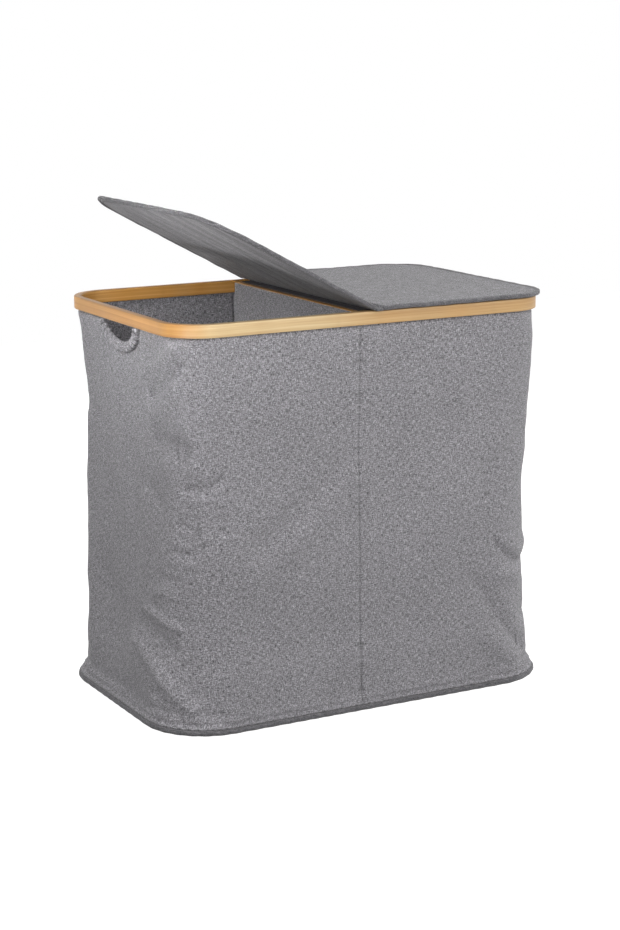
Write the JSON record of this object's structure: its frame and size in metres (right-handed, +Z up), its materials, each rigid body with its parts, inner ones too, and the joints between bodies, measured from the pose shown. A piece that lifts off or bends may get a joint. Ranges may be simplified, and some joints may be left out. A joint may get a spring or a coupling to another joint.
{
  "type": "laundry hamper with two bins",
  "caption": "Cloth laundry hamper with a bent bamboo rim, side-by-side bins behind a cloth divider, hand holes and fold-up board lid flaps.",
  "frame": {"origin": "centre of the foot, on the floor", "axes": "+X along the hamper towards the closed flap, +Y to the back, +Z up"},
  "size_m": [0.598, 0.392, 0.6763],
  "materials": {
    "bamboo": "clear satin lacquer on laminated bamboo",
    "grey_cloth": "grey melange plain weave",
    "grey_lining": "smooth non-woven lining",
    "dark_binding": "dark grey bias tape",
    "fibreboard": "stiff brown board",
    "steel_rod": "zinc-plated rod",
    "black_plastic": "moulded plastic",
    "touch_tape": "hook-and-loop tape"
  },
  "bodies": {
    "basket": {"rim_hoop": "bamboo", "rim_crossbar": "bamboo", "hem_strip": "black_plastic", "wall_left": "grey_cloth", "wall_right": "grey_cloth", "handle_binding_left": "dark_binding", "handle_binding_right": "dark_binding", "divider_panel": "grey_cloth", "base_piping": "dark_binding", "base_panel": "grey_cloth", "base_lining": "grey_cloth", "base_board_left": "fibreboard", "base_board_right": "fibreboard", "rod_front_left": "steel_rod", "rod_back_left": "steel_rod", "rod_front_right": "steel_rod", "rod_back_right": "steel_rod", "rod_foot_front_left": "black_plastic", "rod_foot_back_left": "black_plastic", "rod_foot_front_right": "black_plastic", "rod_foot_back_right": "black_plastic", "rod_top_cap_front_left": "black_plastic", "rod_top_cap_back_left": "black_plastic", "rod_top_cap_front_right": "black_plastic", "rod_top_cap_back_right": "black_plastic", "rod_sleeve_front_left": "grey_cloth", "rod_sleeve_back_left": "grey_cloth", "rod_sleeve_front_right": "grey_cloth", "rod_sleeve_back_right": "grey_cloth", "loop_tape": "touch_tape", "hook_tape": "touch_tape", "lid_centre_band": "grey_cloth"},
    "lid_left": {"lid_left_board": "fibreboard", "lid_left_cover": "grey_cloth", "lid_left_lining": "grey_lining", "lid_left_binding": "dark_binding"},
    "lid_right": {"lid_right_board": "fibreboard", "lid_right_cover": "grey_cloth", "lid_right_lining": "grey_lining", "lid_right_binding": "dark_binding"}
  },
  "joints": [
    {"name": "lid_left_fold", "type": "hinge", "parent": "basket", "child": "lid_left", "pos_m": [0.0014, 0, 0.5435], "axis": [0, 1, 0], "range_deg": [-28.3, 61.7]},
    {"name": "lid_right_fold", "type": "hinge", "parent": "basket", "child": "lid_right", "pos_m": [0.0126, 0, 0.5435], "axis": [0, -1, 0], "range_deg": [0, 90]}
  ]
}
